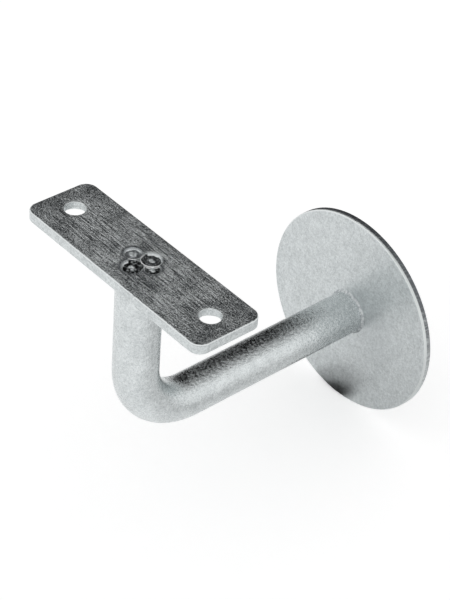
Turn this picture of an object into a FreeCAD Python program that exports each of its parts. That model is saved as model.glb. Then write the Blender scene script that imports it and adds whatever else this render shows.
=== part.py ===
import FreeCAD, Part
import math
import os
import Sketcher

from FreeCAD import Rotation, Vector

# Welded wall bracket for a handrail, in millimetres.
# The origin is the centre of the wall disc's back face, on the axis of the arm.
# +X leaves the wall, +Y runs along the rail and +Z is up.

PARTS_FOLDER = "parts"

# Lengths closer than this count as equal
SAME_LENGTH = 1e-6
# Share by which two equal cuts may differ
SAME_CUT = 0.01
# Full turn of a revolved profile, in degrees
FULL_TURN = 360

# Driving sizes: name, value, what it measures
SIZES = (
    ("rod_diameter", 12.0, "round bar that the arm is bent from"),
    ("arm_reach", 78.0, "wall face to the axis of the upright leg"),
    ("bend_radius", 18.0, "bend of the bar, measured on its axis"),
    ("saddle_height", 49.0, "axis of the arm to the underside of the saddle plate"),
    ("thread_drill", 6.8, "core hole for the M8 thread in the wall end of the bar"),
    ("thread_depth", 25.0, "length of that hole before its drill point"),
    ("drill_point_angle", 118.0, "full angle of the drill point, in degrees"),
    ("disc_diameter", 60.0, "wall disc"),
    ("disc_thickness", 2.0, "wall disc"),
    ("disc_rounding", 0.4, "rolled front edge of the punched disc"),
    ("disc_bore_gap", 0.05, "radial gap between the bar and its hole in the disc"),
    ("ring_weld_leg", 0.6, "leg of the fillet weld round the bar on the disc"),
    ("saddle_length", 67.0, "saddle plate along the rail"),
    ("saddle_width", 20.0, "saddle plate across the rail"),
    ("saddle_thickness", 3.0, "flat bar of the saddle plate"),
    ("saddle_corner", 3.2, "corner radius of the saddle plate"),
    ("saddle_rounding", 0.4, "tumbled top edge of the saddle plate"),
    ("saddle_bevel", 0.3, "blunted bottom edge of the saddle plate"),
    ("screw_spacing", 52.0, "distance between the two rail screw holes"),
    ("screw_hole", 5.5, "diameter of the rail screw holes"),
    ("screw_hole_lip", 0.12, "blunted lip where the punch went in"),
    ("screw_hole_dish", 0.12, "depth of the shallow dish round that lip"),
    ("screw_hole_dish_width", 1.2, "width of the dish outside the lip"),
    ("screw_sink", 1.0, "width and depth of the countersink below, for the screw heads"),
    ("core_radius", 3.0, "plug of weld metal that fills the hole in the middle of the plate"),
    ("core_penetration", 0.8, "depth to which that plug melted into the end of the bar"),
    ("spot_depth", 1.6, "depth of the spot welds laid over the plug"),
    ("spot_root", 1.2, "radius of each spot weld at its root"),
    ("crater_depth", 0.45, "depth of the bowl in the top of each spot weld"),
    ("crater_rim", 0.35, "width of the flat rim round each bowl"),
    ("bottom_spot_across", 3.2, "first spot weld, from the leg axis along X"),
    ("bottom_spot_along", 0.75, "first spot weld, from the leg axis along Y"),
    ("bottom_spot_radius", 2.9, "first spot weld, at the top of the plate"),
    ("left_spot_across", -0.25, "second spot weld, along X"),
    ("left_spot_along", -3.2, "second spot weld, along Y"),
    ("left_spot_radius", 2.4, "second spot weld"),
    ("right_spot_across", -0.25, "third spot weld, along X"),
    ("right_spot_along", 4.4, "third spot weld, along Y"),
    ("right_spot_radius", 2.2, "third spot weld"),
    ("top_spot_across", -2.3, "last spot weld, along X"),
    ("top_spot_along", 1.5, "last spot weld, along Y"),
    ("top_spot_radius", 2.75, "last spot weld, which laps over the others"),
)

# Spot welds in the order in which they were laid, each lapping over the ones before
SPOTS = ("bottom_spot", "left_spot", "right_spot", "top_spot")

SADDLE_TOP = "(sizes.saddle_height + sizes.saddle_thickness)"
ROD_RADIUS = "sizes.rod_diameter / 2"

doc = FreeCAD.newDocument("handrail_bracket")


def make_sheet():
    """Put every driving size in a spreadsheet cell with an alias."""
    sheet = doc.addObject("Spreadsheet::Sheet", "sizes")
    for row, (name, value, meaning) in enumerate(SIZES, start=1):
        sheet.set(f"A{row}", name)
        sheet.set(f"B{row}", str(value))
        sheet.set(f"C{row}", meaning)
        sheet.setAlias(f"B{row}", name)
    doc.recompute()
    return sheet


sizes = make_sheet()


def value_of(formula):
    """Work out a formula of the sheet's sizes, as a plain number."""
    return float(sizes.evalExpression(formula))


def new_body(name):
    """Start a piece that is built up feature by feature."""
    return doc.addObject("PartDesign::Body", name)


def origin_feature(body, role):
    """Give one of a body's own origin planes or axes."""
    return next(item for item in body.Origin.OriginFeatures if item.Role == role)


def new_sketch(body, name, role):
    """Start a sketch on one of the body's origin planes."""
    sketch = body.newObject("Sketcher::SketchObject", name)
    sketch.AttachmentSupport = (origin_feature(body, role), [""])
    sketch.MapMode = "FlatFace"
    return sketch


def dimension(sketch, kind, *where, formula):
    """Dimension a sketch with a formula of the sheet's sizes."""
    number = sketch.addConstraint(Sketcher.Constraint(kind, *where, value_of(formula)))
    sketch.setExpression(f"Constraints[{number}]", formula)


def join_ends(sketch, count):
    """Make the first lines and arcs of a sketch one closed chain."""
    for edge in range(count):
        following = (edge + 1) % count
        sketch.addConstraint(Sketcher.Constraint("Coincident", edge, 2, following, 1))


def closed_outline(sketch, corners):
    """Draw straight lines through the corners and close them."""
    count = len(corners)
    for start, end in zip(corners, corners[1:] + corners[:1]):
        sketch.addGeometry(Part.LineSegment(Vector(*start, 0), Vector(*end, 0)), False)
    join_ends(sketch, count)


def centred_circle(sketch, formula):
    """Draw a circle round the sketch's origin, its diameter from a formula."""
    radius = value_of(formula) / 2
    circle = sketch.addGeometry(Part.Circle(Vector(0, 0, 0), Vector(0, 0, 1), radius), False)
    sketch.addConstraint(Sketcher.Constraint("Coincident", circle, 3, -1, 1))
    dimension(sketch, "Diameter", circle, formula=formula)


def edges_where(feature, test):
    """Name the edges of a feature that pass a test."""
    return [f"Edge{number}" for number, edge in enumerate(feature.Shape.Edges, 1) if test(edge)]


def round_edges(body, name, base, test, radius):
    """Round the chosen edges of the body's last feature."""
    doc.recompute()
    fillet = body.newObject("PartDesign::Fillet", name)
    fillet.Base = (base, edges_where(base, test))
    fillet.setExpression("Radius", radius)
    return fillet


def flat_at(height):
    """Make a test for edges that lie at one height."""
    def test(edge):
        box = edge.BoundBox
        return box.ZLength < SAME_LENGTH and abs(box.ZMin - height) < SAME_LENGTH
    return test


def is_upright(edge):
    """Tell whether an edge runs straight up."""
    box = edge.BoundBox
    return box.ZLength > SAME_LENGTH and box.XLength + box.YLength < SAME_LENGTH


def make_arm_blank():
    """Bend the round bar and drill the core hole of the thread in its wall end."""
    body = new_body("arm_blank")

    section = new_sketch(body, "arm_section", "YZ_Plane")
    centred_circle(section, "sizes.rod_diameter")

    reach = value_of("sizes.arm_reach")
    bend = value_of("sizes.bend_radius")
    height = value_of("sizes.saddle_height")
    path = new_sketch(body, "arm_path", "XZ_Plane")
    centre = Vector(reach - bend, bend, 0)
    bend_circle = Part.Circle(centre, Vector(0, 0, 1), bend)
    path.addGeometry(Part.LineSegment(Vector(0, 0, 0), Vector(reach - bend, 0, 0)), False)
    path.addGeometry(Part.ArcOfCircle(bend_circle, -math.pi / 2, 0), False)
    path.addGeometry(Part.LineSegment(Vector(reach, bend, 0), Vector(reach, height, 0)), False)
    path.addConstraint(Sketcher.Constraint("Coincident", 0, 1, -1, 1))
    path.addConstraint(Sketcher.Constraint("Horizontal", 0))
    path.addConstraint(Sketcher.Constraint("Vertical", 2))
    path.addConstraint(Sketcher.Constraint("Tangent", 0, 2, 1, 1))
    path.addConstraint(Sketcher.Constraint("Tangent", 1, 2, 2, 1))
    dimension(path, "Radius", 1, formula="sizes.bend_radius")
    dimension(path, "DistanceX", 0, 1, 2, 2, formula="sizes.arm_reach")
    dimension(path, "DistanceY", 0, 1, 2, 2, formula="sizes.saddle_height")

    bar = body.newObject("PartDesign::AdditivePipe", "bent_bar")
    bar.Profile = section
    bar.Spine = (path, ["Edge1", "Edge2", "Edge3"])
    doc.recompute()

    drill = new_sketch(body, "thread_core", "XZ_Plane")
    radius = value_of("sizes.thread_drill") / 2
    depth = value_of("sizes.thread_depth")
    point = "sizes.thread_drill / 2 / tan(sizes.drill_point_angle / 2 * 1deg)"
    tip = depth + value_of(point)
    closed_outline(drill, [(0, 0), (tip, 0), (depth, radius), (0, radius)])
    drill.addConstraint(Sketcher.Constraint("Coincident", 0, 1, -1, 1))
    drill.addConstraint(Sketcher.Constraint("Horizontal", 0))
    drill.addConstraint(Sketcher.Constraint("Horizontal", 2))
    drill.addConstraint(Sketcher.Constraint("Vertical", 3))
    dimension(drill, "DistanceY", 0, 1, 2, 2, formula="sizes.thread_drill / 2")
    dimension(drill, "DistanceX", 0, 1, 1, 2, formula="sizes.thread_depth")
    dimension(drill, "DistanceX", 0, 1, 0, 2, formula=f"sizes.thread_depth + {point}")

    hole = body.newObject("PartDesign::Groove", "thread_hole")
    hole.Profile = drill
    hole.ReferenceAxis = (drill, ["H_Axis"])
    hole.Angle = FULL_TURN
    doc.recompute()
    drilled = bar.Shape.Volume - hole.Shape.Volume
    if drilled < math.pi * radius ** 2 * depth:
        raise ValueError("the thread's core hole cuts too little from the bar")
    return body


def make_wall_disc():
    """Punch the wall disc, with a hole that the bar passes through."""
    body = new_body("wall_disc")
    outline = new_sketch(body, "disc_outline", "YZ_Plane")
    centred_circle(outline, "sizes.disc_diameter")
    centred_circle(outline, "sizes.rod_diameter + 2 * sizes.disc_bore_gap")
    disc = body.newObject("PartDesign::Pad", "disc_pad")
    disc.Profile = outline
    disc.setExpression("Length", "sizes.disc_thickness")

    front = value_of("sizes.disc_thickness")
    rim = value_of("sizes.disc_diameter") / 2

    def is_front_rim(edge):
        round_the_disc = isinstance(edge.Curve, Part.Circle)
        in_front = abs(edge.BoundBox.XMin - front) < SAME_LENGTH
        return round_the_disc and in_front and abs(edge.Curve.Radius - rim) < SAME_LENGTH

    round_edges(body, "disc_rolled_edge", disc, is_front_rim, "sizes.disc_rounding")
    return body


def make_ring_weld():
    """Run the fillet weld round the bar, on the front of the disc."""
    body = new_body("ring_weld")
    face = value_of("sizes.disc_thickness")
    rod = value_of(ROD_RADIUS)
    leg = value_of("sizes.ring_weld_leg")
    section = new_sketch(body, "ring_weld_section", "XZ_Plane")
    closed_outline(section, [(face, rod), (face + leg, rod), (face, rod + leg)])
    section.addConstraint(Sketcher.Constraint("Horizontal", 0))
    section.addConstraint(Sketcher.Constraint("Vertical", 2))
    dimension(section, "DistanceX", -1, 1, 0, 1, formula="sizes.disc_thickness")
    dimension(section, "DistanceY", -1, 1, 0, 1, formula=ROD_RADIUS)
    dimension(section, "DistanceX", 0, 1, 0, 2, formula="sizes.ring_weld_leg")
    dimension(section, "DistanceY", 0, 1, 1, 2, formula="sizes.ring_weld_leg")
    ring = body.newObject("PartDesign::Revolution", "ring_weld_bead")
    ring.Profile = section
    ring.ReferenceAxis = (section, ["H_Axis"])
    ring.Angle = FULL_TURN
    return body


def make_saddle_blank():
    """Cut the saddle plate from flat bar, round it and punch its screw holes."""
    body = new_body("saddle_blank")
    body.setExpression("Placement.Base.x", "sizes.arm_reach")
    body.setExpression("Placement.Base.z", "sizes.saddle_height")

    outline = new_sketch(body, "saddle_outline", "XY_Plane")
    half_width = value_of("sizes.saddle_width") / 2
    half_length = value_of("sizes.saddle_length") / 2
    closed_outline(outline, [
        (-half_width, -half_length),
        (half_width, -half_length),
        (half_width, half_length),
        (-half_width, half_length),
    ])
    for edge in (0, 2):
        outline.addConstraint(Sketcher.Constraint("Horizontal", edge))
    for edge in (1, 3):
        outline.addConstraint(Sketcher.Constraint("Vertical", edge))
    outline.addConstraint(Sketcher.Constraint("Symmetric", 0, 1, 1, 2, -1, 1))
    dimension(outline, "DistanceX", 0, 1, 0, 2, formula="sizes.saddle_width")
    dimension(outline, "DistanceY", 1, 1, 1, 2, formula="sizes.saddle_length")

    plate = body.newObject("PartDesign::Pad", "saddle_pad")
    plate.Profile = outline
    plate.setExpression("Length", "sizes.saddle_thickness")

    corners = round_edges(body, "saddle_corners", plate, is_upright, "sizes.saddle_corner")
    top = value_of("sizes.saddle_thickness")
    upper = round_edges(body, "saddle_top_edge", corners, flat_at(top), "sizes.saddle_rounding")
    doc.recompute()
    bevel = body.newObject("PartDesign::Chamfer", "saddle_bottom_edge")
    bevel.Base = (upper, edges_where(upper, flat_at(0)))
    bevel.setExpression("Size", "sizes.saddle_bevel")
    punch_screw_holes(body)
    return body


def punch_screw_holes(body):
    """Punch a hole near each end: dished and blunted on top, countersunk below."""
    hole = value_of("sizes.screw_hole") / 2
    sink = value_of("sizes.screw_sink")
    lip = value_of("sizes.screw_hole_lip")
    top = value_of("sizes.saddle_thickness")
    dish_bottom = top - value_of("sizes.screw_hole_dish")
    dish = hole + lip + value_of("sizes.screw_hole_dish_width")

    section = new_sketch(body, "screw_hole_section", "YZ_Plane")
    section.setExpression("AttachmentOffset.Base.x", "sizes.screw_spacing / 2")
    closed_outline(section, [
        (0, 0),
        (hole + sink, 0),
        (hole, sink),
        (hole, dish_bottom - lip),
        (hole + lip, dish_bottom),
        (dish, top),
        (0, top),
    ])
    section.addConstraint(Sketcher.Constraint("Coincident", 0, 1, -1, 1))
    section.addConstraint(Sketcher.Constraint("Horizontal", 0))
    section.addConstraint(Sketcher.Constraint("Vertical", 2))
    section.addConstraint(Sketcher.Constraint("Horizontal", 5))
    section.addConstraint(Sketcher.Constraint("Vertical", 6))
    lip_radius = "sizes.screw_hole / 2 + sizes.screw_hole_lip"
    dimension(section, "DistanceX", 6, 2, 2, 1, formula="sizes.screw_hole / 2")
    dimension(section, "DistanceX", 1, 2, 0, 2, formula="sizes.screw_sink")
    dimension(section, "DistanceY", 0, 2, 1, 2, formula="sizes.screw_sink")
    dimension(section, "DistanceX", 3, 1, 3, 2, formula="sizes.screw_hole_lip")
    dimension(section, "DistanceY", 3, 1, 3, 2, formula="sizes.screw_hole_lip")
    dimension(section, "DistanceX", 6, 2, 4, 2,
              formula=f"{lip_radius} + sizes.screw_hole_dish_width")
    dimension(section, "DistanceY", 4, 1, 4, 2, formula="sizes.screw_hole_dish")
    dimension(section, "DistanceY", 6, 2, 6, 1, formula="sizes.saddle_thickness")
    doc.recompute()

    before = body.Shape.Volume
    first = body.newObject("PartDesign::Groove", "screw_hole_one")
    first.Profile = section
    first.ReferenceAxis = (section, ["V_Axis"])
    first.Angle = FULL_TURN
    doc.recompute()
    second = body.newObject("PartDesign::Mirrored", "screw_hole_two")
    second.Originals = [first]
    second.MirrorPlane = (origin_feature(body, "XZ_Plane"), [""])
    body.Tip = second
    doc.recompute()
    one_hole = before - first.Shape.Volume
    both_holes = before - second.Shape.Volume
    if one_hole < math.pi * hole ** 2 * top:
        raise ValueError("a screw hole cuts too little from the saddle plate")
    if abs(both_holes - 2 * one_hole) > SAME_CUT * one_hole:
        raise ValueError("the two screw holes differ")


def make_core():
    """Fill the hole in the plate with a plug of weld metal, down into the bar's end."""
    core = doc.addObject("Part::Cylinder", "weld_core")
    core.setExpression("Radius", "sizes.core_radius")
    core.setExpression("Height", "sizes.saddle_thickness + sizes.core_penetration")
    core.setExpression("Placement.Base.x", "sizes.arm_reach")
    core.setExpression("Placement.Base.z", "sizes.saddle_height - sizes.core_penetration")
    return core


def make_spot(spot):
    """Make the tapered nugget of one spot weld, sunk in the top of the plate."""
    nugget = doc.addObject("Part::Cone", f"{spot}_nugget")
    nugget.setExpression("Radius1", "sizes.spot_root")
    nugget.setExpression("Radius2", f"sizes.{spot}_radius")
    nugget.setExpression("Height", "sizes.spot_depth")
    nugget.setExpression("Placement.Base.x", f"sizes.arm_reach + sizes.{spot}_across")
    nugget.setExpression("Placement.Base.y", f"sizes.{spot}_along")
    nugget.setExpression("Placement.Base.z", f"{SADDLE_TOP} - sizes.spot_depth")
    return nugget


def make_crater(spot):
    """Make the round bowl that the arc leaves in the top of one spot weld."""
    mouth = f"(sizes.{spot}_radius - sizes.crater_rim)"
    ball_radius = f"(({mouth} ^ 2 + sizes.crater_depth ^ 2) / (2 * sizes.crater_depth))"
    bowl = doc.addObject("Part::Sphere", f"{spot}_bowl")
    # The ball lies on its side, with its poles and its seam away from the weld
    bowl.Placement.Rotation = Rotation(Vector(0, 1, 0), -90)
    bowl.setExpression("Radius", ball_radius)
    bowl.setExpression("Placement.Base.x", f"sizes.arm_reach + sizes.{spot}_across")
    bowl.setExpression("Placement.Base.y", f"sizes.{spot}_along")
    bowl.setExpression("Placement.Base.z", f"{SADDLE_TOP} + {ball_radius} - sizes.crater_depth")
    return bowl


def make_plug_weld(core, nuggets):
    """Lay the spot welds on the core, one over another, each with its own crater."""
    weld = core
    for spot, nugget in zip(SPOTS, nuggets):
        pile = doc.addObject("Part::Fuse", f"{spot}_laid")
        pile.Base = weld
        pile.Tool = nugget
        weld = doc.addObject("Part::Cut", f"{spot}_cratered")
        weld.Base = pile
        weld.Tool = make_crater(spot)
    weld.Label = "plug_weld"
    return weld


def melt_into(blank, pool, name):
    """Take the metal of a blank away where the spot welds melted it."""
    piece = doc.addObject("Part::Cut", f"{name}_melted")
    piece.Base = blank
    piece.Tool = pool
    piece.Label = name
    return piece


def make_nodes():
    """Build every piece of the bracket."""
    core = make_core()
    nuggets = [make_spot(spot) for spot in SPOTS]
    pool = doc.addObject("Part::MultiFuse", "weld_pool")
    pool.Shapes = [core] + nuggets
    return [
        melt_into(make_arm_blank(), pool, "bent_arm"),
        make_wall_disc(),
        make_ring_weld(),
        melt_into(make_saddle_blank(), pool, "saddle_plate"),
        make_plug_weld(core, nuggets),
    ]


def check_document(nodes):
    """Stop if any object failed or any piece is not one sound solid."""
    for item in doc.Objects:
        if "Invalid" in item.State or "Error" in item.State:
            raise ValueError(f"{item.Name} did not recompute: {item.State}")
    for node in nodes:
        shape = node.Shape
        if shape.isNull() or not shape.isValid() or len(shape.Solids) != 1:
            raise ValueError(f"{node.Label} is not one valid solid")


nodes = make_nodes()
doc.recompute()
check_document(nodes)
os.makedirs(PARTS_FOLDER, exist_ok=True)
for node in nodes:
    node.Shape.exportStep(os.path.join(PARTS_FOLDER, f"{node.Label}.step"))
    print(f"{node.Label}: {node.Shape.Volume:.1f} cubic millimetres")
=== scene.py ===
import math
from collections import namedtuple

import bpy
from mathutils import Matrix, Vector


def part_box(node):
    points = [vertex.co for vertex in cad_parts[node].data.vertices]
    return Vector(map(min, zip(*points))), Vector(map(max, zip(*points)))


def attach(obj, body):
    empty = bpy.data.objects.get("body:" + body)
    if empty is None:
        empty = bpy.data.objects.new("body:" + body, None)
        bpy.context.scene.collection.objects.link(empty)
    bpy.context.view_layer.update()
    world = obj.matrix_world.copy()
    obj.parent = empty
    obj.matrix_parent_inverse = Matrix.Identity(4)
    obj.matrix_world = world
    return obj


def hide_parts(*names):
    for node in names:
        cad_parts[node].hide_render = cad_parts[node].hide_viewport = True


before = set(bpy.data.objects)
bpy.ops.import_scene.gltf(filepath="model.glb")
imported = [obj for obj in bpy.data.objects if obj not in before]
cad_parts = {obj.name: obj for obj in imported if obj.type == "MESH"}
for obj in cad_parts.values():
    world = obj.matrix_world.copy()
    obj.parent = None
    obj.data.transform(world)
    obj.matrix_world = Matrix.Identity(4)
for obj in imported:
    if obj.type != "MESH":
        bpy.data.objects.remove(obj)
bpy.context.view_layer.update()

MM = 0.001

# The bracket's own places, read from the frame
DISC_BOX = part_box("wall_disc")
PLATE_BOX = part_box("saddle_plate")
DISC_RADIUS = DISC_BOX[1].z
DISC_FRONT = DISC_BOX[1].x
PLATE_TOP = PLATE_BOX[1].z
PLATE_HALF_WIDTH = (PLATE_BOX[1].x - PLATE_BOX[0].x) / 2
PLATE_HALF_LENGTH = PLATE_BOX[1].y
LEG_AXIS = (PLATE_BOX[0].x + PLATE_BOX[1].x) / 2

# The plate's corners and screw holes
PLATE_CORNER = 3.2 * MM
SCREW_PLACE = 26.0 * MM
SCREW_RADIUS = 2.75 * MM

# The floor a little under the disc, and how high the dark cards lie over it
FLOOR_GAP = 0.5 * MM
FLOOR_HEIGHT = DISC_BOX[0].z - FLOOR_GAP
FLOOR_SIZE = 6.0
DARK_FLOOR_LIFT = 0.1 * MM
SHADE_LIFT = 0.2 * MM

# Spot welds in the order in which they were laid. Across and along are places from the leg axis in
# millimetres, like the radius. The nub is a share of the radius, rough is how uneven the crater is,
# and oxide is the grey in its hollow.
Spot = namedtuple("Spot", "name across along radius nub rough oxide")
SPOTS = (
    Spot("bottom_spot", 3.2, 0.75, 2.9, 0.42, 1.0, 0.010),
    Spot("left_spot", -0.25, -3.2, 2.4, 0.50, 0.7, 0.150),
    Spot("right_spot", -0.25, 4.4, 2.2, 0.42, 0.7, 0.020),
    Spot("top_spot", -2.3, 1.5, 2.75, 0.32, 0.7, 0.055),
)

# Body of a spot weld, in millimetres: a tapered nugget under an upright side, which stands clear in
# the hollows beside it. Each rim stands a hair higher than the last, all under the plate's top.
SPOT_ROOT = 1.2
SPOT_DEPTH = 1.6
UPRIGHT_SIDE = 0.95
FIRST_RIM = -0.125
RIM_STEP = 0.012
CRATER_SEGMENTS = 96

# How much narrower than its spot weld a cutting blank is, and how far it reaches above the plate
MELT_MARGIN = 0.02

# Core of weld metal below the spots, in millimetres, which starts a little under the plate's top
CORE_RADIUS = 3.0
CORE_DEPTH = 3.8
CORE_HOLLOW = 0.07

# Rings of a crater from the outside inwards. Each is a width and a rise in millimetres. The width
# is a share of the spot's radius in the rim, of the hollow's width in the hollow, and of the nub's
# radius in the nub.
RIM_RINGS = ((0.020, 0.060), (0.016, 0.010), (0.020, -0.160), (0.034, -0.230))
HOLLOW_RINGS = ((0.22, -0.080), (0.28, 0.010), (0.28, 0.030), (0.22, 0.060))
NUB_RINGS = ((0.18, 0.140), (0.20, 0.080), (0.22, 0.030), (0.20, 0.000))
RIM_SHARE = sum(share for share, rise in RIM_RINGS)

# Where a crater is rough, in shares of its spot's radius and in millimetres from the plate's top
COVERED_REACH = 1.02
ROUGH_START = 0.92
ROUGH_FADE = 0.22
ROUGH_DEPTH = -0.9

# How a crater is roughened: direction, strength, size of the lumps in millimetres, and the level
# that stays in place. Sideways it goes both ways, but upwards hardly at all, so that nothing stands
# above the plate.
ROUGH_PUSHES = (
    ("X", 0.7, 1.1, 0.5),
    ("Y", 0.7, 1.3, 0.5),
    ("Z", 0.5, 0.7, 0.8),
)

# Thread in the wall end of the bar, in millimetres. Its ridges are sunk a little into the bore's wall.
THREAD_PITCH = 1.25
THREAD_ROOT = 3.4
THREAD_RIDGE = 0.2
THREAD_SINK = 0.03
THREAD_TURNS = 18
THREAD_STEPS = 48

# Where the first ridge starts, in pitches, and the scale that makes a ridge's foot nine tenths of
# the pitch, from a triangle in a circle of radius 1, which is 1.5 high
THREAD_START = 0.6
RIDGE_SPREAD = 0.52
TRIANGLE_HEIGHT = 1.5

# Edges that are softer than this are shaded smooth
SMOOTH_ANGLE = math.radians(40)

# Camera, found by fitting the bracket's outlines to the photograph
CAMERA_PLACE = Vector((306.43, 271.51, 323.67)) * MM
CAMERA_AIM = Vector((41.10, -8.52, 16.86)) * MM
CAMERA_ROLL = math.radians(4.73)
FOCAL_LENGTH_PX = 1865.5
PHOTO_HEIGHT_PX = 600
SENSOR_MM = 36.0
NEAREST_SEEN = 0.01
FARTHEST_SEEN = 20.0

# The surroundings as a light and as they are seen, the floor's grey and glow, and the cards' grey
WORLD_LIGHT = 0.75
BACKDROP = 1.0
WHITE = 1.0
FLOOR_GREY = 0.82
FLOOR_GLOW = 0.42
CARD_GREY = 0.005

# Fineness of the patterns in the steel, in spots to the metre. Those with three numbers are
# stretched, with one number for each axis.
GRAIN_SCALE = 2400.0
DENT_SCALE = 1300.0
BLOTCH_SCALE = 300.0
FINE_SCALE = 3600.0
SPECK_SCALE = 1800.0
CLOUD_SCALE = 130.0
STREAK_SCALE = 1700.0
DRAWN_SCALE = (3000.0, 170.0, 900.0)
TEAR_SCALE = (500.0, 2600.0, 2600.0)

# Steel as it comes from the tumbling barrel, in its darker and lighter grains
DARK_STEEL = (0.50, 0.53, 0.535)
LIGHT_STEEL = (0.76, 0.795, 0.80)
PLATE_DARK = (0.13, 0.14, 0.145)
PLATE_LIGHT = (0.88, 0.91, 0.915)
# Bright grey for the rubbed screw holes and the lighter patch by the last weld, and for the painted
# highlights along edges
WEAR_AND_HIGHLIGHT = (0.76, 0.79, 0.79)
DARK_SPECK = (0.14, 0.15, 0.16)
# Dark grey of the torn rim, which also carries painted shade at its top
SHEARED_AND_SHADED = (0.15, 0.16, 0.17)
# Heat tint in patches on the ring weld, and painted shade on the disc's faces
HEAT_TINT_AND_SHADE = (0.32, 0.345, 0.36)

# Weld metal: its nubs, the oxide outside the craters, the bluish cast of the oxide in them, and the
# painted highlight on the walls
WELD_NUB = (0.60, 0.63, 0.635)
OUTER_OXIDE = (0.05, 0.053, 0.056)
OXIDE_CAST = (1.0, 1.05, 1.1)
PAINTED_WALL_HIGHLIGHT = (0.95, 0.96, 0.96)


def link(tree, output, input_socket):
    tree.links.new(output, input_socket)


def new_material(name):
    material = bpy.data.materials.new(name)
    material.use_nodes = True
    material.node_tree.nodes.clear()
    return material


def object_place(tree):
    return tree.nodes.new("ShaderNodeTexCoord").outputs["Object"]


def stretched(tree, place, scale):
    """Scale a place differently along each axis."""
    mapping = tree.nodes.new("ShaderNodeMapping")
    mapping.inputs["Scale"].default_value = scale
    link(tree, place, mapping.inputs["Vector"])
    return mapping.outputs["Vector"]


def noise(tree, place, scale, detail=2.0, roughness=0.5):
    made = tree.nodes.new("ShaderNodeTexNoise")
    made.inputs["Scale"].default_value = scale
    made.inputs["Detail"].default_value = detail
    made.inputs["Roughness"].default_value = roughness
    link(tree, place, made.inputs["Vector"])
    return made.outputs["Fac"]


def spread(tree, value, low, high, to_low=0.0, to_high=1.0):
    """Map a range of values to another, held at its ends."""
    made = tree.nodes.new("ShaderNodeMapRange")
    made.inputs["From Min"].default_value = low
    made.inputs["From Max"].default_value = high
    made.inputs["To Min"].default_value = to_low
    made.inputs["To Max"].default_value = to_high
    link(tree, value, made.inputs["Value"])
    return made.outputs["Result"]


def calculate(tree, operation, first, second=0.0):
    made = tree.nodes.new("ShaderNodeMath")
    made.operation = operation
    for socket, value in zip(made.inputs, (first, second)):
        if isinstance(value, (int, float)):
            socket.default_value = value
        else:
            link(tree, value, socket)
    return made.outputs["Value"]


def product(tree, first, second):
    return calculate(tree, "MULTIPLY", first, second)


def difference(tree, first, second):
    return calculate(tree, "SUBTRACT", first, second)


def larger(tree, first, second=0.0):
    return calculate(tree, "MAXIMUM", first, second)


def weighted(tree, *parts):
    """Add values up, each times its weight."""
    total = None
    for value, weight in parts:
        share = product(tree, value, weight)
        total = share if total is None else calculate(tree, "ADD", total, share)
    return total


def length_of(tree, first, second):
    """The length of a flat vector, from its two components."""
    squares = calculate(tree, "ADD", product(tree, first, first), product(tree, second, second))
    return calculate(tree, "SQRT", squares)


def distance_from(tree, first, second, centre_first, centre_second):
    """The distance of a place from a centre, both given by two components."""
    return length_of(tree, difference(tree, first, centre_first), difference(tree, second, centre_second))


def axes_of(tree, place):
    split = tree.nodes.new("ShaderNodeSeparateXYZ")
    link(tree, place, split.inputs["Vector"])
    return split.outputs["X"], split.outputs["Y"], split.outputs["Z"]


def mixed_colour(tree, amount, first, second):
    made = tree.nodes.new("ShaderNodeMix")
    made.data_type = "RGBA"
    link(tree, amount, made.inputs["Factor"])
    for name, value in (("A", first), ("B", second)):
        socket = next(s for s in made.inputs if s.name == name and s.type == "RGBA")
        if isinstance(value, tuple):
            socket.default_value = (*value, 1.0)
        else:
            link(tree, value, socket)
    return next(s for s in made.outputs if s.type == "RGBA")


def finish_metal(tree, colour, roughness, height, bump):
    """Close a metal material: colour, roughness and a bump from a height."""
    shader = tree.nodes.new("ShaderNodeBsdfPrincipled")
    shader.inputs["Metallic"].default_value = 1.0
    link(tree, colour, shader.inputs["Base Color"])
    link(tree, roughness, shader.inputs["Roughness"])
    bumps = tree.nodes.new("ShaderNodeBump")
    bumps.inputs["Strength"].default_value = 1.0
    bumps.inputs["Distance"].default_value = bump
    link(tree, height, bumps.inputs["Height"])
    link(tree, bumps.outputs["Normal"], shader.inputs["Normal"])
    output = tree.nodes.new("ShaderNodeOutputMaterial")
    link(tree, shader.outputs["BSDF"], output.inputs["Surface"])


def tumbled_skin(tree, place):
    """The fine grain, the dents and the soft blotches of tumbled steel."""
    grain = noise(tree, place, GRAIN_SCALE, detail=2.0, roughness=0.65)
    dents = noise(tree, place, DENT_SCALE, detail=2.0, roughness=0.6)
    blotch = noise(tree, place, BLOTCH_SCALE, detail=2.0)
    return grain, dents, blotch


def skin_colour(tree, grain, dents, blotch):
    tone = weighted(tree, (grain, 0.4), (dents, 0.4), (blotch, 0.2))
    return mixed_colour(tree, spread(tree, tone, 0.38, 0.62), DARK_STEEL, LIGHT_STEEL)


def uneven_gloss(tree, grain, smooth, rough):
    """Smooth and rough grains beside one another."""
    return spread(tree, grain, 0.36, 0.64, smooth, rough)


def bar_steel():
    """The round bar, evenly tumbled."""
    material = new_material("tumbled_bar")
    tree = material.node_tree
    grain, dents, blotch = tumbled_skin(tree, object_place(tree))
    colour = skin_colour(tree, grain, dents, blotch)
    gloss = uneven_gloss(tree, dents, smooth=0.15, rough=0.36)
    height = weighted(tree, (grain, 0.5), (dents, 1.0))
    finish_metal(tree, colour, gloss, height, bump=0.14 * MM)
    return material


def face_with_painted_shade(tree, y, z, skin, blotch):
    """The disc's faces, with a faint painted shade round the ring weld that reaches wider on one side."""
    shade_y = 9.0 * MM
    shade_z = 0.5 * MM
    shade_radius = 7.0 * MM
    clear_radius = 17.0 * MM
    raggedness = 6.0 * MM
    from_shade_middle = distance_from(tree, y, z, shade_y, shade_z)
    ragged = weighted(tree, (from_shade_middle, 1.0), (blotch, raggedness))
    # The tint here is painted shade, deepest near its middle beside the weld
    tint = spread(tree, ragged, clear_radius, shade_radius, 0.10, 0.28)
    return mixed_colour(tree, tint, skin, HEAT_TINT_AND_SHADE)


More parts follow.
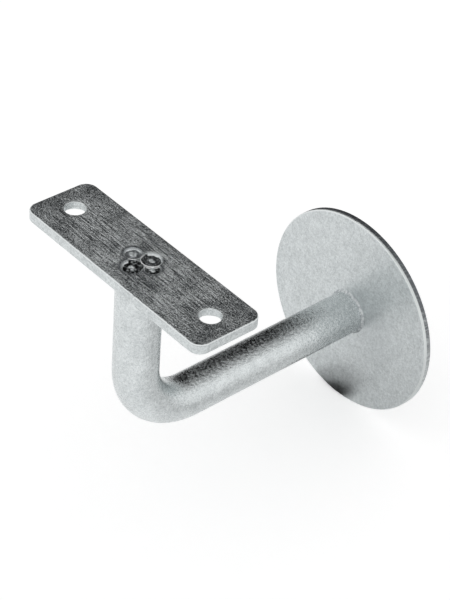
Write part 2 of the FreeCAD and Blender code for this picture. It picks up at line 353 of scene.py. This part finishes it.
def shaded_sheared_rim(tree, z, tears):
    """The disc's rim, torn by the punch, with painted shade that makes it darker towards the top than
    towards the bottom.
    """
    shade_above = 18 * MM
    light_below = -14 * MM
    # Painted shade: the rim darkens towards the top and lightens towards the bottom
    lower = spread(tree, z, shade_above, light_below)
    rim_tone = weighted(tree, (tears, 0.7), (lower, 0.55))
    return mixed_colour(tree, spread(tree, rim_tone, 0.36, 0.86), SHEARED_AND_SHADED, LIGHT_STEEL)


def front_edge_highlight(tree, x, radius):
    """How far the disc's front edge carries a painted highlight, on its face and on its rim."""
    face_width = 0.42 * MM
    face_full = 0.25 * MM
    rim_width = 0.80 * MM
    rim_full = 0.55 * MM
    near_edge = spread(tree, radius, DISC_RADIUS - face_width, DISC_RADIUS - face_full)
    in_front = spread(tree, x, DISC_FRONT - rim_width, DISC_FRONT - rim_full)
    return product(tree, near_edge, in_front)


def disc_steel():
    """The punched disc: tumbled faces with painted shade round the weld, a painted highlight along the
    front edge and a rough sheared rim with painted shade at its top.
    """
    material = new_material("tumbled_sheet")
    tree = material.node_tree
    place = object_place(tree)
    grain, dents, blotch = tumbled_skin(tree, place)
    tears = noise(tree, stretched(tree, place, TEAR_SCALE), 1.0, detail=3.0)
    x, y, z = axes_of(tree, place)
    radius = length_of(tree, y, z)
    rim = spread(tree, radius, DISC_RADIUS - 0.10 * MM, DISC_RADIUS - 0.04 * MM)
    # The faces carry painted shade round the ring weld
    face = face_with_painted_shade(tree, y, z, skin_colour(tree, grain, dents, blotch), blotch)
    # The rim is torn, with painted shade towards its top
    colour = mixed_colour(tree, rim, face, shaded_sheared_rim(tree, z, tears))
    # Painted highlight along the disc's front edge
    colour = mixed_colour(tree, front_edge_highlight(tree, x, radius), colour, WEAR_AND_HIGHLIGHT)
    gloss = weighted(tree, (spread(tree, blotch, 0.3, 0.7, 0.34, 0.42), 1.0), (rim, 0.15))
    height = weighted(tree, (grain, 0.5), (dents, 0.8), (product(tree, tears, rim), 2.0))
    finish_metal(tree, colour, gloss, height, bump=0.10 * MM)
    return material


def distance_from_spot(tree, x, y, spot):
    return distance_from(tree, x, y, LEG_AXIS + spot.across * MM, spot.along * MM)


def inwards_of_outline(tree, across, along):
    """The distance inwards from the outline of the plate, with its round corners."""
    out_x = difference(tree, across, PLATE_HALF_WIDTH - PLATE_CORNER)
    out_y = difference(tree, along, PLATE_HALF_LENGTH - PLATE_CORNER)
    beyond = length_of(tree, larger(tree, out_x), larger(tree, out_y))
    within = calculate(tree, "MINIMUM", larger(tree, out_x, out_y))
    return difference(tree, PLATE_CORNER, calculate(tree, "ADD", beyond, within))


def worn_by_barrel(tree, along, inwards, clouds):
    """How far the barrel has worn the drawn lines off: at the ends, and at ends and border together."""
    ends_start = 27 * MM
    ends_full = 39 * MM
    ends_raggedness = 16 * MM
    border_width = 8.5 * MM
    border_full = 3.5 * MM
    border_raggedness = 9.0 * MM
    ragged_along = weighted(tree, (along, 1.0), (clouds, ends_raggedness))
    ragged_inwards = weighted(tree, (inwards, 1.0), (clouds, border_raggedness))
    ends = spread(tree, ragged_along, ends_start, ends_full)
    border = spread(tree, ragged_inwards, border_width, border_full)
    return ends, larger(tree, ends, border)


def lighter_halo(tree, x, y):
    """Lighter metal beside the last spot weld, on one side of it."""
    last = SPOTS[-1]
    # Widths outside the edge of the spot, in millimetres like its radius
    halo_width = 1.0
    halo_full = 0.1
    # Where the lighter side begins, along a slanting line through the leg's axis
    side_start = 0.3 * MM
    side_full = -1.5 * MM
    slant = weighted(tree, (difference(tree, x, LEG_AXIS), 0.45), (y, 0.9))
    aside = spread(tree, slant, side_start, side_full)
    away = distance_from_spot(tree, x, y, last)
    close = spread(tree, away, (last.radius + halo_width) * MM, (last.radius + halo_full) * MM)
    return product(tree, aside, close)


def darker_borders(tree, x, y, blotch):
    """Darker borders round the spot welds that were laid before the last one."""
    darkening_width = 1.3 * MM
    darkening_full = 0.5 * MM
    raggedness = 0.8 * MM
    most_darkening = 0.8
    nearest = None
    for spot in SPOTS[:-1]:
        outside = difference(tree, distance_from_spot(tree, x, y, spot), spot.radius * MM)
        nearest = outside if nearest is None else calculate(tree, "MINIMUM", nearest, outside)
    ragged = weighted(tree, (nearest, 1.0), (blotch, raggedness))
    return spread(tree, ragged, darkening_width, darkening_full, 0.0, most_darkening)


def rubbed_holes(tree, across, along):
    """How far the screw holes' edges are rubbed clean."""
    rubbed_width = 0.7 * MM
    rubbed_full = 0.1 * MM
    most_rubbed = 0.6
    from_hole = distance_from(tree, across, along, 0.0, SCREW_PLACE)
    return spread(tree, from_hole, SCREW_RADIUS + rubbed_width, SCREW_RADIUS + rubbed_full,
                  0.0, most_rubbed)


def top_edge_highlight(tree, inwards, z):
    """How far the plate's top edge carries a painted highlight."""
    edge_width = 0.32 * MM
    edge_full = 0.18 * MM
    edge_depth = 0.35 * MM
    full_depth = 0.2 * MM
    near_edge = spread(tree, inwards, edge_width, edge_full)
    upper = spread(tree, z, PLATE_TOP - edge_depth, PLATE_TOP - full_depth)
    return product(tree, near_edge, upper)


def plate_steel():
    """The flat bar: drawn lines along it, darker tumbled ends and borders, a painted highlight on the top
    edge.
    """
    material = new_material("tumbled_plate")
    tree = material.node_tree
    place = object_place(tree)
    grain, dents, blotch = tumbled_skin(tree, place)
    fine = noise(tree, place, FINE_SCALE, detail=1.0)
    specks = noise(tree, place, SPECK_SCALE, detail=1.0)
    clouds = noise(tree, place, CLOUD_SCALE, detail=2.0)
    lines = noise(tree, stretched(tree, place, DRAWN_SCALE), 1.0, detail=3.0, roughness=0.6)
    x, y, z = axes_of(tree, place)
    across = calculate(tree, "ABSOLUTE", difference(tree, x, LEG_AXIS))
    along = calculate(tree, "ABSOLUTE", y)
    inwards = inwards_of_outline(tree, across, along)
    on_top = spread(tree, z, PLATE_TOP - 0.5 * MM, PLATE_TOP - 0.1 * MM)
    # Drawn lines in the middle, plain tumbled steel towards the ends and the border
    ends, tumbled = worn_by_barrel(tree, along, inwards, clouds)
    drawn = difference(tree, 1.0, tumbled)
    drawn_lines = product(tree, lines, drawn)
    tone = weighted(tree, (fine, 0.30), (grain, 0.25), (dents, 0.12), (blotch, 0.13), (clouds, 0.20))
    wear = weighted(tree, (drawn_lines, 0.6), (drawn, -0.3), (tumbled, -0.01), (ends, -0.035))
    level = calculate(tree, "ADD", tone, wear)
    face = mixed_colour(tree, spread(tree, level, 0.415, 0.595), PLATE_DARK, PLATE_LIGHT)
    # Dark specks where the tumbling has bitten, thickest at the ends and the border
    reach = product(tree, weighted(tree, (tumbled, 0.62), (drawn, 0.16)), on_top)
    bitten = product(tree, spread(tree, specks, 0.44, 0.32), reach)
    face = mixed_colour(tree, bitten, face, DARK_SPECK)
    # Darker borders round the earlier spot welds, and a lighter patch beside the last one
    halo = lighter_halo(tree, x, y)
    face = mixed_colour(tree, darker_borders(tree, x, y, blotch), face, DARK_SPECK)
    face = mixed_colour(tree, product(tree, halo, 0.8), face, WEAR_AND_HIGHLIGHT)
    face = mixed_colour(tree, rubbed_holes(tree, across, along), face, WEAR_AND_HIGHLIGHT)
    # The sides and the underside are plainly tumbled, and the top edge has a painted highlight
    colour = mixed_colour(tree, on_top, skin_colour(tree, grain, dents, blotch), face)
    colour = mixed_colour(tree, top_edge_highlight(tree, inwards, z), colour, WEAR_AND_HIGHLIGHT)
    gloss = calculate(tree, "ADD", uneven_gloss(tree, fine, smooth=0.26, rough=0.52),
                      product(tree, halo, 0.12))
    height = weighted(tree, (grain, 0.5), (product(tree, dents, tumbled), 1.0), (dents, 0.35),
                      (drawn_lines, 1.0), (bitten, -0.8))
    finish_metal(tree, colour, gloss, height, bump=0.15 * MM)
    return material


def laid_over(tree, inside, before, added):
    """A value that a new spot weld clears inside itself, before it adds its own."""
    kept = product(tree, before, difference(tree, 1.0, inside))
    return larger(tree, kept, added)


def spot_marks(tree, x, y):
    """The oxide's colour, its walls and the painted highlights on the walls, each spot laid over those
    before it.
    """
    # Distances from a spot's edge, in millimetres, and places in it as shares of its radius
    edge_softness = 0.1
    wall_starts = 0.72
    wall_full = 0.84
    bright_inside = 0.22
    bright_inside_full = 0.12
    bright_outside = 0.12
    bright_outside_full = 0.04
    around_width = 0.5
    around_full = 0.3
    oxide = OUTER_OXIDE
    walls = 0.0
    wall_highlights = 0.0
    covered = 0.0
    for spot in SPOTS:
        radius = spot.radius
        away = distance_from_spot(tree, x, y, spot)
        inside = spread(tree, away, radius * MM, (radius - edge_softness) * MM)
        hollow_oxide = tuple(spot.oxide * cast for cast in OXIDE_CAST)
        oxide = mixed_colour(tree, inside, oxide, hollow_oxide)
        # The wall of the hollow is oxidised higher up than the nub
        outer = spread(tree, away, wall_starts * radius * MM, wall_full * radius * MM)
        walls = laid_over(tree, inside, walls, product(tree, inside, outer))
        # A painted highlight on the wall where this spot stands over those laid before it
        inner_side = spread(tree, away, (radius - bright_inside) * MM,
                            (radius - bright_inside_full) * MM)
        outer_side = spread(tree, away, (radius + bright_outside) * MM,
                            (radius + bright_outside_full) * MM)
        bright = product(tree, product(tree, inner_side, outer_side), covered)
        wall_highlights = laid_over(tree, inside, wall_highlights, bright)
        around = spread(tree, away, (radius + around_width) * MM, (radius + around_full) * MM)
        covered = larger(tree, covered, around)
    return oxide, walls, wall_highlights


def weld_metal():
    """Spot welds: dark oxide in their ring-shaped hollows, grey nubs and clean rims."""
    material = new_material("spot_weld")
    tree = material.node_tree
    place = object_place(tree)
    grain, dents, blotch = tumbled_skin(tree, place)
    streaks = noise(tree, place, STREAK_SCALE, detail=2.0)
    x, y, z = axes_of(tree, place)
    depth = difference(tree, PLATE_TOP, z)
    ragged = weighted(tree, (depth, 1.0), (grain, 0.14 * MM), (dents, 0.18 * MM))
    oxide, walls, wall_highlights = spot_marks(tree, x, y)
    oxide = mixed_colour(tree, spread(tree, streaks, 0.50, 0.66, 0.0, 0.55), oxide, DARK_STEEL)
    # From the clean rim down over the nub's height into the oxide
    clean = skin_colour(tree, grain, dents, blotch)
    nub = mixed_colour(tree, spread(tree, ragged, 0.26 * MM, 0.34 * MM), clean, WELD_NUB)
    sunk = weighted(tree, (ragged, 1.0), (walls, 0.24 * MM))
    colour = mixed_colour(tree, spread(tree, sunk, 0.46 * MM, 0.62 * MM), nub, oxide)
    # Painted highlight on the walls where later spots stand over earlier ones
    colour = mixed_colour(tree, wall_highlights, colour, PAINTED_WALL_HIGHLIGHT)
    gloss = spread(tree, ragged, 0.30 * MM, 0.42 * MM, 0.34, 0.55)
    height = weighted(tree, (grain, 0.8), (dents, 1.0))
    finish_metal(tree, colour, gloss, height, bump=0.16 * MM)
    return material


def ring_steel():
    """The ring weld: tumbled like the bar, with the tint of its heat in patches."""
    material = new_material("ring_bead")
    tree = material.node_tree
    grain, dents, blotch = tumbled_skin(tree, object_place(tree))
    tint = spread(tree, dents, 0.6, 0.4, 0.3, 0.8)
    colour = mixed_colour(tree, tint, skin_colour(tree, grain, dents, blotch), HEAT_TINT_AND_SHADE)
    gloss = spread(tree, blotch, 0.3, 0.7, 0.40, 0.5)
    height = weighted(tree, (grain, 0.6), (dents, 1.4))
    finish_metal(tree, colour, gloss, height, bump=0.13 * MM)
    return material


def dress(piece, material):
    """Put a material on the whole of a piece."""
    piece.data.materials.clear()
    piece.data.materials.append(material)


def select_only(piece):
    bpy.ops.object.select_all(action="DESELECT")
    piece.select_set(True)
    bpy.context.view_layer.objects.active = piece


def select_faces(piece, test):
    """Select the faces of a piece that pass a test, and start editing it."""
    select_only(piece)
    bpy.ops.object.mode_set(mode="EDIT")
    bpy.ops.mesh.select_mode(type="FACE")
    bpy.ops.mesh.select_all(action="DESELECT")
    bpy.ops.object.mode_set(mode="OBJECT")
    for face in piece.data.polygons:
        face.select = test(face)
    bpy.ops.object.mode_set(mode="EDIT")


def use_modifier(piece, kind, **settings):
    """Add a modifier to a piece and apply it."""
    select_only(piece)
    made = piece.modifiers.new(kind.lower(), kind)
    for key, value in settings.items():
        setattr(made, key, value)
    bpy.ops.object.modifier_apply(modifier=made.name)


def apply_place():
    """Move the place, turn and scale of what is selected into its mesh."""
    bpy.ops.object.transform_apply(location=True, rotation=True, scale=True)


def bring_to_scale(piece, place=(0.0, 0.0, 0.0)):
    """Turn a piece modelled in millimetres about its own origin into the frame's metres."""
    select_only(piece)
    piece.scale = (MM, MM, MM)
    piece.location = place
    apply_place()


def looks_up(face):
    return face.normal.z > 0.9


def make_blank(spot, top, shrink=0.0):
    """Model the blank of a spot weld, and go on editing it with its top face selected."""
    bpy.ops.object.select_all(action="DESELECT")
    taper = SPOT_DEPTH - UPRIGHT_SIDE
    middle = (spot.across, spot.along, -SPOT_DEPTH + taper / 2)
    bpy.ops.mesh.primitive_cone_add(vertices=CRATER_SEGMENTS, radius1=SPOT_ROOT - shrink,
                                    radius2=spot.radius - shrink, depth=taper,
                                    end_fill_type="NGON", location=middle)
    blank = bpy.context.object
    blank.name = spot.name
    apply_place()
    select_faces(blank, looks_up)
    upwards = (0.0, 0.0, UPRIGHT_SIDE + top)
    bpy.ops.mesh.extrude_region_move(TRANSFORM_OT_translate={"value": upwards})
    return blank


def make_coin(spot, top):
    """Model one spot weld, with a ring-shaped hollow and a nub in its top."""
    coin = make_blank(spot, top)
    hollow = 1.0 - RIM_SHARE - spot.nub
    for rings, whole in ((RIM_RINGS, 1.0), (HOLLOW_RINGS, hollow), (NUB_RINGS, spot.nub)):
        for share, rise in rings:
            bpy.ops.mesh.inset(thickness=share * whole * spot.radius, depth=rise)
    bpy.ops.mesh.poke()
    bpy.ops.object.mode_set(mode="OBJECT")
    return coin


def melt_away(piece, spots):
    """Cut the blanks of later spot welds out of a piece."""
    for spot in spots:
        melted = make_blank(spot, MELT_MARGIN, shrink=MELT_MARGIN)
        bpy.ops.object.mode_set(mode="OBJECT")
        use_modifier(piece, "BOOLEAN", object=melted, operation="DIFFERENCE", solver="EXACT")
        bpy.data.objects.remove(melted, do_unlink=True)


def crater_share(place):
    """How rough a point is, by the last spot weld that covers it: 0 at its rim, most further in."""
    share = 0.0
    for spot in SPOTS:
        away = (place.xy - Vector((spot.across, spot.along))).length / spot.radius
        if away < COVERED_REACH:
            share = max(0.0, min(1.0, (ROUGH_START - away) / ROUGH_FADE)) * spot.rough
    return share


def roughen(weld):
    """Make the craters uneven inside their rims, the first one most."""
    use_modifier(weld, "TRIANGULATE")
    inner = weld.vertex_groups.new(name="crater")
    for vertex in weld.data.vertices:
        share = crater_share(vertex.co)
        if vertex.co.z > ROUGH_DEPTH and share > 0:
            inner.add([vertex.index], share, "REPLACE")
    for direction, strength, size, middle in ROUGH_PUSHES:
        clouds = bpy.data.textures.new(f"crater_{direction}", "CLOUDS")
        clouds.noise_scale = size
        clouds.noise_depth = 1
        use_modifier(weld, "DISPLACE", texture=clouds, texture_coords="LOCAL", direction=direction,
                     strength=strength, mid_level=middle, vertex_group="crater")


def make_core():
    """Model the core of weld metal, which the spot welds are laid over."""
    bpy.ops.object.select_all(action="DESELECT")
    middle = (0.0, 0.0, -(CORE_DEPTH + CORE_HOLLOW) / 2)
    bpy.ops.mesh.primitive_cylinder_add(vertices=CRATER_SEGMENTS, radius=CORE_RADIUS,
                                        depth=CORE_DEPTH - CORE_HOLLOW, end_fill_type="NGON",
                                        location=middle)
    core = bpy.context.object
    apply_place()
    melt_away(core, SPOTS)
    return core


def make_plug_weld():
    """Lay four spot welds over the core in the saddle plate, each cut into those before it."""
    weld = make_core()
    coins = []
    for number, spot in enumerate(SPOTS):
        coin = make_coin(spot, FIRST_RIM + RIM_STEP * number)
        melt_away(coin, SPOTS[number + 1:])
        coins.append(coin)
    select_only(weld)
    for coin in coins:
        coin.select_set(True)
    bpy.ops.object.join()
    roughen(weld)
    weld.name = "spot_welds"
    bring_to_scale(weld, (LEG_AXIS, 0.0, PLATE_TOP))
    bpy.ops.object.shade_smooth_by_angle(angle=SMOOTH_ANGLE)
    dress(weld, weld_metal())
    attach(weld, "root")
    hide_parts("plug_weld")


def make_thread():
    """Wind the ridges of the thread up the hole in the wall end of the bar."""
    bpy.ops.object.select_all(action="DESELECT")
    bpy.ops.mesh.primitive_circle_add(vertices=3, radius=1.0, fill_type="NOTHING",
                                      rotation=(math.radians(90), 0.0, 0.0))
    thread = bpy.context.object
    thread.name = "wall_thread"
    apply_place()
    # The crest of the ridge points down, towards the middle of the bore
    crest_up = sum(vertex.co.z > 0 for vertex in thread.data.vertices) == 1
    turned = -1 if crest_up else 1
    select_only(thread)
    height_scale = (THREAD_RIDGE + THREAD_SINK) / TRIANGLE_HEIGHT * turned
    thread.scale = (THREAD_PITCH * RIDGE_SPREAD, 1.0, height_scale)
    apply_place()
    highest = max(vertex.co.z for vertex in thread.data.vertices)
    thread.location = (THREAD_PITCH * THREAD_START, 0.0, THREAD_ROOT + THREAD_SINK - highest)
    apply_place()
    use_modifier(thread, "SCREW", axis="X", angle=math.radians(360), steps=THREAD_STEPS,
                 render_steps=THREAD_STEPS, screw_offset=THREAD_PITCH, iterations=THREAD_TURNS,
                 use_merge_vertices=False)
    bpy.ops.object.mode_set(mode="EDIT")
    bpy.ops.mesh.select_all(action="SELECT")
    bpy.ops.mesh.remove_doubles(threshold=0.0001)
    bpy.ops.mesh.fill_holes(sides=3)
    bpy.ops.mesh.normals_make_consistent(inside=False)
    bpy.ops.object.mode_set(mode="OBJECT")
    bring_to_scale(thread)
    bpy.ops.object.shade_smooth_by_angle(angle=SMOOTH_ANGLE)
    dress(thread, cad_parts["bent_arm"].data.materials[0])
    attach(thread, "root")


def grey(level):
    return level, level, level, 1.0


def seen_directly(tree):
    """One for camera, glossy and transmission rays, nought for the rest."""
    path = tree.nodes.new("ShaderNodeLightPath")
    either = larger(tree, path.outputs["Is Camera Ray"], path.outputs["Is Glossy Ray"])
    return larger(tree, either, path.outputs["Is Transmission Ray"])


def even_background(tree, strength):
    made = tree.nodes.new("ShaderNodeBackground")
    made.inputs["Color"].default_value = grey(WHITE)
    made.inputs["Strength"].default_value = strength
    return made.outputs["Background"]


def make_world():
    """Plain white surroundings, a little brighter to look at than as a light."""
    world = bpy.data.worlds.new("studio")
    bpy.context.scene.world = world
    world.use_nodes = True
    tree = world.node_tree
    tree.nodes.clear()
    mix = tree.nodes.new("ShaderNodeMixShader")
    link(tree, seen_directly(tree), mix.inputs["Fac"])
    link(tree, even_background(tree, WORLD_LIGHT), mix.inputs[1])
    link(tree, even_background(tree, BACKDROP), mix.inputs[2])
    output = tree.nodes.new("ShaderNodeOutputWorld")
    link(tree, mix.outputs["Shader"], output.inputs["Surface"])


def make_floor():
    """A pale floor just under the disc, which keeps a soft shadow."""
    bpy.ops.object.select_all(action="DESELECT")
    bpy.ops.mesh.primitive_plane_add(size=FLOOR_SIZE, location=(0.0, 0.0, FLOOR_HEIGHT))
    floor = bpy.context.object
    floor.name = "floor"
    material = new_material("pale_floor")
    tree = material.node_tree
    surface = tree.nodes.new("ShaderNodeBsdfDiffuse")
    surface.inputs["Color"].default_value = grey(FLOOR_GREY)
    glow = tree.nodes.new("ShaderNodeEmission")
    glow.inputs["Color"].default_value = grey(WHITE)
    link(tree, product(tree, seen_directly(tree), FLOOR_GLOW), glow.inputs["Strength"])
    both = tree.nodes.new("ShaderNodeAddShader")
    link(tree, surface.outputs["BSDF"], both.inputs[0])
    link(tree, glow.outputs["Emission"], both.inputs[1])
    output = tree.nodes.new("ShaderNodeOutputMaterial")
    link(tree, both.outputs["Shader"], output.inputs["Surface"])
    dress(floor, material)


def finish_card(card, material, cover):
    """Make a card black where it covers and clear elsewhere, and seen by steel alone."""
    tree = material.node_tree
    clear = tree.nodes.new("ShaderNodeBsdfTransparent")
    black = tree.nodes.new("ShaderNodeEmission")
    black.inputs["Color"].default_value = grey(CARD_GREY)
    mix = tree.nodes.new("ShaderNodeMixShader")
    link(tree, cover, mix.inputs["Fac"])
    link(tree, clear.outputs["BSDF"], mix.inputs[1])
    link(tree, black.outputs["Emission"], mix.inputs[2])
    output = tree.nodes.new("ShaderNodeOutputMaterial")
    link(tree, mix.outputs["Shader"], output.inputs["Surface"])
    card.visible_camera = False
    card.visible_diffuse = False
    card.visible_shadow = False
    card.visible_transmission = False
    dress(card, material)


def make_dark_band():
    """A dark curved band up behind the bracket, which its steel reflects."""
    radius = 0.7
    # Places on the band, as shares of its radius
    middle_x = -0.54
    half_width = 0.24
    soft_width = 0.46
    margin = 0.05
    front_end = 0.7
    # Angles up from the floor in front, where the dark starts and where it is full
    dark_starts = math.radians(38)
    dark_full = math.radians(105)
    bpy.ops.object.select_all(action="DESELECT")
    bpy.ops.mesh.primitive_uv_sphere_add(segments=96, ring_count=48, radius=radius)
    card = bpy.context.object
    card.name = "dark_band"

    def outside(face):
        place = face.center / radius
        aside = abs(place.x - middle_x)
        return place.z < 0.0 or aside > soft_width + margin or place.y > front_end

    select_faces(card, outside)
    bpy.ops.mesh.delete(type="FACE")
    bpy.ops.object.mode_set(mode="OBJECT")
    material = new_material("dark_band")
    tree = material.node_tree
    x, y, z = axes_of(tree, stretched(tree, object_place(tree), (1 / radius,) * 3))
    aside = calculate(tree, "ABSOLUTE", difference(tree, x, middle_x))
    across = spread(tree, aside, soft_width, half_width)
    upwards = spread(tree, calculate(tree, "ARCTAN2", z, y), dark_starts, dark_full)
    finish_card(card, material, product(tree, across, upwards))


def make_dark_floor():
    """The foot of the dark band on the floor, far behind the bracket."""
    size = 1.2
    most_dark = 0.9
    place = (-0.5, -0.65, FLOOR_HEIGHT + DARK_FLOOR_LIFT)
    bpy.ops.object.select_all(action="DESELECT")
    bpy.ops.mesh.primitive_plane_add(size=size, location=place)
    card = bpy.context.object
    card.name = "dark_floor"
    apply_place()
    material = new_material("dark_floor")
    tree = material.node_tree
    x, y = axes_of(tree, object_place(tree))[:2]
    backwards = spread(tree, y, -0.05, -0.20, 0.0, most_dark)
    wallwards = spread(tree, x, 0.01, -0.04)
    finish_card(card, material, product(tree, backwards, wallwards))


def make_floor_shade(name, place, dark, clear, cover):
    """A soft patch on the floor, dark within one radius and clear from another outwards."""
    # The card is a little wider than the patch
    size = 2.2 * clear
    bpy.ops.object.select_all(action="DESELECT")
    bpy.ops.mesh.primitive_plane_add(size=size, location=(*place, FLOOR_HEIGHT + SHADE_LIFT))
    card = bpy.context.object
    card.name = name
    material = new_material(name)
    tree = material.node_tree
    x, y = axes_of(tree, object_place(tree))[:2]
    finish_card(card, material, spread(tree, length_of(tree, x, y), clear, dark, 0.0, cover))


def make_lamp(name, place, aim, size, power):
    """A round lamp that looks at a point, and that the camera doesn't see."""
    data = bpy.data.lights.new(name, "AREA")
    data.shape = "DISK"
    data.size = size
    data.energy = power
    lamp = bpy.data.objects.new(name, data)
    lamp.visible_camera = False
    lamp.location = place
    lamp.rotation_euler = (Vector(aim) - Vector(place)).to_track_quat("-Z", "Y").to_euler()
    bpy.context.collection.objects.link(lamp)


def make_camera():
    data = bpy.data.cameras.new("camera")
    data.sensor_width = SENSOR_MM
    data.lens = FOCAL_LENGTH_PX * SENSOR_MM / PHOTO_HEIGHT_PX
    data.clip_start = NEAREST_SEEN
    data.clip_end = FARTHEST_SEEN
    camera = bpy.data.objects.new("camera", data)
    look = (CAMERA_AIM - CAMERA_PLACE).to_track_quat("-Z", "Y").to_matrix()
    turned = look @ Matrix.Rotation(CAMERA_ROLL, 3, "Z")
    camera.matrix_world = Matrix.Translation(CAMERA_PLACE) @ turned.to_4x4()
    bpy.context.collection.objects.link(camera)
    bpy.context.scene.camera = camera


bpy.context.scene.view_settings.view_transform = "Standard"
make_camera()
make_world()
make_floor()
make_dark_band()
make_dark_floor()
make_floor_shade("disc_shade", place=(0.0055, -0.0035), dark=5.5 * MM, clear=8.5 * MM, cover=1.0)
make_floor_shade("arm_shade", place=(-0.010, 0.075), dark=50 * MM, clear=105 * MM, cover=0.30)
make_lamp("soft_lamp", place=(-0.65, 0.88, 0.50), aim=(0.04, 0.0, 0.0), size=0.8, power=0.15)

dress(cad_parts["bent_arm"], bar_steel())
dress(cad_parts["wall_disc"], disc_steel())
dress(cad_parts["saddle_plate"], plate_steel())
dress(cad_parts["ring_weld"], ring_steel())
make_plug_weld()
make_thread()
